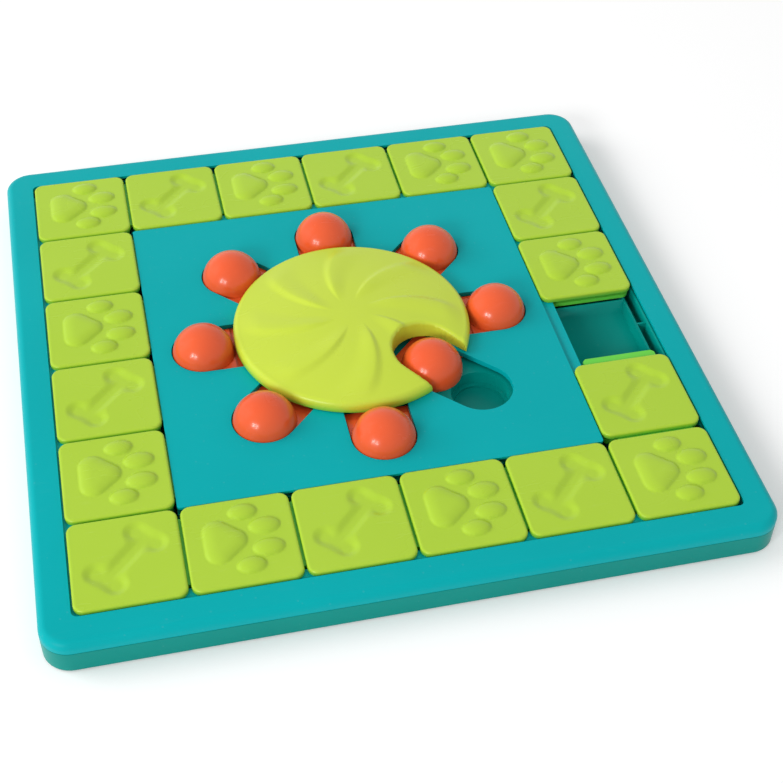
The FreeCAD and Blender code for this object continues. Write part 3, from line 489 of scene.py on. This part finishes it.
def makeDial():
    bm = bmesh.new()
    paintedShadeLayer = bm.verts.layers.float.new("rim")
    flat = dial["radius"] - dial["edge"]
    side = dial["rim"] - dial["edge"]
    drawDialSection(bm, flat, side)
    bmesh.ops.spin(bm, geom=bm.verts[:] + bm.edges[:], cent=(0, 0, 0), axis=(0, 0, 1), angle=2 * math.pi,
                   steps=dial["turns"], use_merge=True, use_duplicate=False)
    bmesh.ops.remove_doubles(bm, verts=bm.verts[:], dist=weld)
    for vert in bm.verts:
        x, y = vert.co.x, vert.co.y
        if vert.co.z > side - 1e-7:
            if math.hypot(x, y) < flat + 1e-7:
                vert.co.z += swirlHeight(x / mm, y / mm) * mm
            inward = notch["round"] - notchDistance(x, y)
            if inward > 0:  # rolled edge round the notch
                inward = min(notch["round"], inward)
                vert.co.z -= notch["round"] - math.sqrt(max(notch["round"] ** 2 - inward ** 2, 0.0))
        # painted shade: full at the underside, fading up the side wall
        vert[paintedShadeLayer] = 1.0 if vert.co.z < dial["under"] + weld else 0.0
    bmesh.ops.recalc_face_normals(bm, faces=bm.faces[:])
    piece = makePiece("dialTop", bm, "dialLime", "dial", dial["sharpAbove"])
    cutter = makeNotchCutter()
    cut = piece.modifiers.new("notch", "BOOLEAN")
    cut.operation, cut.object, cut.solver = "DIFFERENCE", cutter, "EXACT"
    bpy.context.view_layer.update()
    carved = bpy.data.meshes.new_from_object(piece.evaluated_get(bpy.context.evaluated_depsgraph_get()))
    piece.modifiers.clear()
    piece.data = carved
    carved.shade_smooth()
    carved.set_sharp_from_angle(angle=math.radians(dial["sharpAbove"]))
    bpy.data.objects.remove(cutter)
    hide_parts("dial")
    print("dial: %d faces" % len(carved.polygons))


makeDial()
softened("dial_washer", "dialWasher", "screwSteel", "dial", 0.15 * mm)
softened("dial_screw", "dialScrew", "screwSteel", "dial", 0.3 * mm)


# sliders: a dome on a shelf that fills the slot towards the dial, over a flange under the deck

slider = {
    "count": 8, "seat": 76.5 * mm, "openSeat": 48.0 * mm, "openNumber": 8,
    "under": 14.3 * mm, "shelf": 16.2 * mm, "half": 15.5 * mm, "tail": 14.8 * mm,
    "edge": 0.5 * mm, "edgeSteps": 3,
    "flangeTop": 15.4 * mm, "flangeHalf": 18.6 * mm, "flangeTail": 20.0 * mm, "flangeNose": 8.0 * mm,
    "domeRadius": 15.6 * mm, "domeTop": 31.5 * mm, "sides": 96, "rings": 64,
    "coveHigh": 1.6 * mm, "coveOut": 0.8 * mm, "coveFrom": 14.0 * mm, "coveRun": 5.0 * mm,
}


def shelfEdges(bm):  # the edges round the shelf's top face
    def level(edge):
        return all(abs(vert.co.z - slider["shelf"]) < weld for vert in edge.verts)
    return [edge for edge in bm.edges if level(edge) and not edge.is_boundary
            and len({round(face.normal.z, 1) for face in edge.link_faces}) > 1]


def addShelf(bm):
    bmesh.ops.create_circle(bm, cap_ends=True, segments=slider["sides"], radius=slider["half"])
    for vert in bm.verts:
        if vert.co.x < -1e-7:
            vert.co.x = -slider["tail"]
    bmesh.ops.remove_doubles(bm, verts=bm.verts[:], dist=weld)
    bmesh.ops.translate(bm, verts=bm.verts[:], vec=(0, 0, slider["under"]))
    made = bmesh.ops.extrude_face_region(bm, geom=bm.faces[:])["geom"]
    bmesh.ops.translate(bm, verts=newVerts(made), vec=(0, 0, slider["shelf"] - slider["under"]))
    bmesh.ops.recalc_face_normals(bm, faces=bm.faces[:])
    bmesh.ops.bevel(bm, geom=shelfEdges(bm), offset=slider["edge"], affect="EDGES",
                    segments=slider["edgeSteps"], profile=0.5, material=-1)


def addFlange(bm):
    plate = bmesh.ops.create_cube(bm, size=1.0)["verts"]
    long = slider["flangeTail"] + slider["flangeNose"]
    high = slider["flangeTop"] - slider["under"]
    middle = (slider["flangeNose"] - slider["flangeTail"]) / 2
    bmesh.ops.scale(bm, verts=plate, vec=(long, 2 * slider["flangeHalf"], high))
    bmesh.ops.translate(bm, verts=plate, vec=(middle, 0, slider["under"] + high / 2))


def addDome(bm):
    ball = bmesh.ops.create_uvsphere(bm, u_segments=slider["sides"], v_segments=slider["rings"],
                                     radius=slider["domeRadius"])["verts"]
    bmesh.ops.translate(bm, verts=ball, vec=(0, 0, slider["domeTop"] - slider["domeRadius"]))
    whole = set(ball)
    for vert in ball:
        whole.update(vert.link_edges)
        whole.update(vert.link_faces)
    bmesh.ops.bisect_plane(bm, geom=list(whole), plane_co=(0, 0, slider["shelf"] - slider["edge"]),
                           plane_no=(0, 0, 1), clear_inner=True)
    bmesh.ops.contextual_create(bm, geom=[edge for edge in bm.edges if edge.is_boundary])
    for vert in bm.verts:  # small cove where the dome meets the shelf, towards the dial
        rise = vert.co.z - slider["shelf"]
        away = math.hypot(vert.co.x, vert.co.y)
        if 0.0 <= rise < slider["coveHigh"] and away > slider["coveFrom"] and vert.co.x < 0:
            share = (1 - rise / slider["coveHigh"]) ** 2 * min(1.0, -vert.co.x / slider["coveRun"])
            vert.co.x -= slider["coveOut"] * share


def makeSlider(number):
    bm = bmesh.new()
    addShelf(bm)
    addFlange(bm)
    addDome(bm)
    seat = slider["openSeat"] if number == slider["openNumber"] else slider["seat"]
    turn = Matrix.Rotation(2 * math.pi * (number - 1) / slider["count"], 4, "Z")
    bmesh.ops.transform(bm, matrix=turn @ Matrix.Translation((seat, 0, 0)), verts=bm.verts[:])
    bmesh.ops.recalc_face_normals(bm, faces=bm.faces[:])
    piece = makePiece("sliderKnob%d" % number, bm, "sliderOrange", "slider_%d" % number)
    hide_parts("slider_%d" % number)


for number in range(1, slider["count"] + 1):
    makeSlider(number)
print("sliders: %d" % slider["count"])


# board: the two upper shells, the tray, screws and feet

board = {  # node: piece, finish, slot, width of its soft edge
    "base_tray": ("boardTray", "trayTeal", "tray_teal", 0.0),
    "outer_frame": ("boardFrame", "frameTeal", "frame_teal", 0.5 * mm),
    "centre_deck": ("boardDeck", "frameTeal", "frame_teal", 0.5 * mm),
    "frame_screws": ("frameScrews", "screwSteel", "steel", 0.2 * mm),
    "deck_screws": ("deckScrews", "screwSteel", "steel", 0.2 * mm),
    "rubber_feet": ("rubberFeet", "footRubber", "rubber", 0.0),
}
for node, (name, finish, slotName, width) in board.items():
    softened(node, name, finish, "board", width)
print("board: %d pieces" % len(board))


# floor, world, lamps and camera

white = (1.0, 1.0, 1.0, 1.0)
stage = {
    "size": 6.0, "floor": paint(250, 250, 250), "patch": paint(246, 246, 246), "patchScale": 3.0,
    "roughness": 0.9, "lift": 0.16,  # what the camera sees of the floor is this much whiter
    "worldStrength": 0.58, "backdropStrength": 1.0,
}


def whiteRays(tree, x, y):  # 1 where the camera, a reflection or a clear piece looks at the white
    path = addNode(tree, "ShaderNodeLightPath", (x, y)).outputs
    seen = maths(tree, (x + 200, y), "MAXIMUM", path["Is Camera Ray"], path["Is Glossy Ray"])
    return maths(tree, (x + 400, y), "MAXIMUM", seen, path["Is Transmission Ray"])


def makeFloor():
    bm = bmesh.new()
    bmesh.ops.create_grid(bm, x_segments=2, y_segments=2, size=stage["size"] / 2)
    mesh = bpy.data.meshes.new("floor")
    bm.to_mesh(mesh)
    bm.free()
    floor = bpy.data.objects.new("floor", mesh)
    scene.collection.objects.link(floor)
    material = bpy.data.materials.new("paleFloor")
    material.use_nodes = True
    tree = material.node_tree
    shader = tree.nodes["Principled BSDF"]
    shader.inputs["Roughness"].default_value = stage["roughness"]
    shader.inputs["Specular IOR Level"].default_value = 0.0
    shader.inputs["Emission Color"].default_value = white
    patches = addNode(tree, "ShaderNodeTexNoise", (-600, 0))
    patches.inputs["Scale"].default_value = stage["patchScale"]
    shade = mixColours(tree, (-300, 0), patches.outputs["Fac"], stage["floor"], stage["patch"])
    tree.links.new(shade, shader.inputs["Base Color"])
    lift = maths(tree, (-300, -300), "MULTIPLY", whiteRays(tree, -900, -300), stage["lift"])
    tree.links.new(lift, shader.inputs["Emission Strength"])
    mesh.materials.append(material)


def makeWorld():
    world = bpy.data.worlds.new("studio")
    scene.world = world
    world.use_nodes = True
    tree = world.node_tree
    tree.nodes.clear()
    out = addNode(tree, "ShaderNodeOutputWorld", (600, 0))
    pick = addNode(tree, "ShaderNodeMixShader", (400, 0))
    tree.links.new(whiteRays(tree, -400, 300), pick.inputs["Fac"])
    for index, strength in ((1, stage["worldStrength"]), (2, stage["backdropStrength"])):
        light = addNode(tree, "ShaderNodeBackground", (200, 300 - 200 * index))
        light.inputs["Color"].default_value = white
        light.inputs["Strength"].default_value = strength
        tree.links.new(light.outputs["Background"], pick.inputs[index])
    tree.links.new(pick.outputs["Shader"], out.inputs["Surface"])


lamps = {  # shine: whether the lamp shows as a highlight
    "keyLeft": {"place": (-2.44, -1.76, 1.50), "size": (0.5, 0.75), "power": 24.0, "shine": True},
    "keyFront": {"place": (-1.90, -2.34, 1.50), "size": (0.5, 0.75), "power": 18.0, "shine": True},
    "softLeft": {"place": (-2.6, 0.9, 1.7), "size": (1.9, 1.9), "power": 46.0, "shine": False},
}


def makeLamp(name, values):  # each lamp faces the object
    light = bpy.data.lights.new(name, "AREA")
    light.shape = "RECTANGLE"
    light.size, light.size_y = values["size"]
    light.energy = values["power"]
    lamp = bpy.data.objects.new(name, light)
    lamp.location = values["place"]
    lamp.rotation_euler = (-Vector(values["place"])).to_track_quat("-Z", "Y").to_euler()
    lamp.visible_glossy = values["shine"]
    scene.collection.objects.link(lamp)


camera = {
    "place": (-0.11217, -0.54735, 0.53089), "turn": (45.0588, -1.0056, -12.7546),  # metres, degrees
    "lens": 67.76, "sensor": 36.0, "near": 0.02, "far": 50.0,
}


def makeCamera():
    data = bpy.data.cameras.new("camera")
    data.sensor_width, data.lens = camera["sensor"], camera["lens"]
    data.clip_start, data.clip_end = camera["near"], camera["far"]
    eye = bpy.data.objects.new("camera", data)
    eye.location = camera["place"]
    eye.rotation_euler = [math.radians(angle) for angle in camera["turn"]]
    scene.collection.objects.link(eye)
    scene.camera = eye


makeFloor()
makeWorld()
for name, values in lamps.items():
    makeLamp(name, values)
makeCamera()
scene.view_settings.view_transform = "Standard"
print("stage ready")
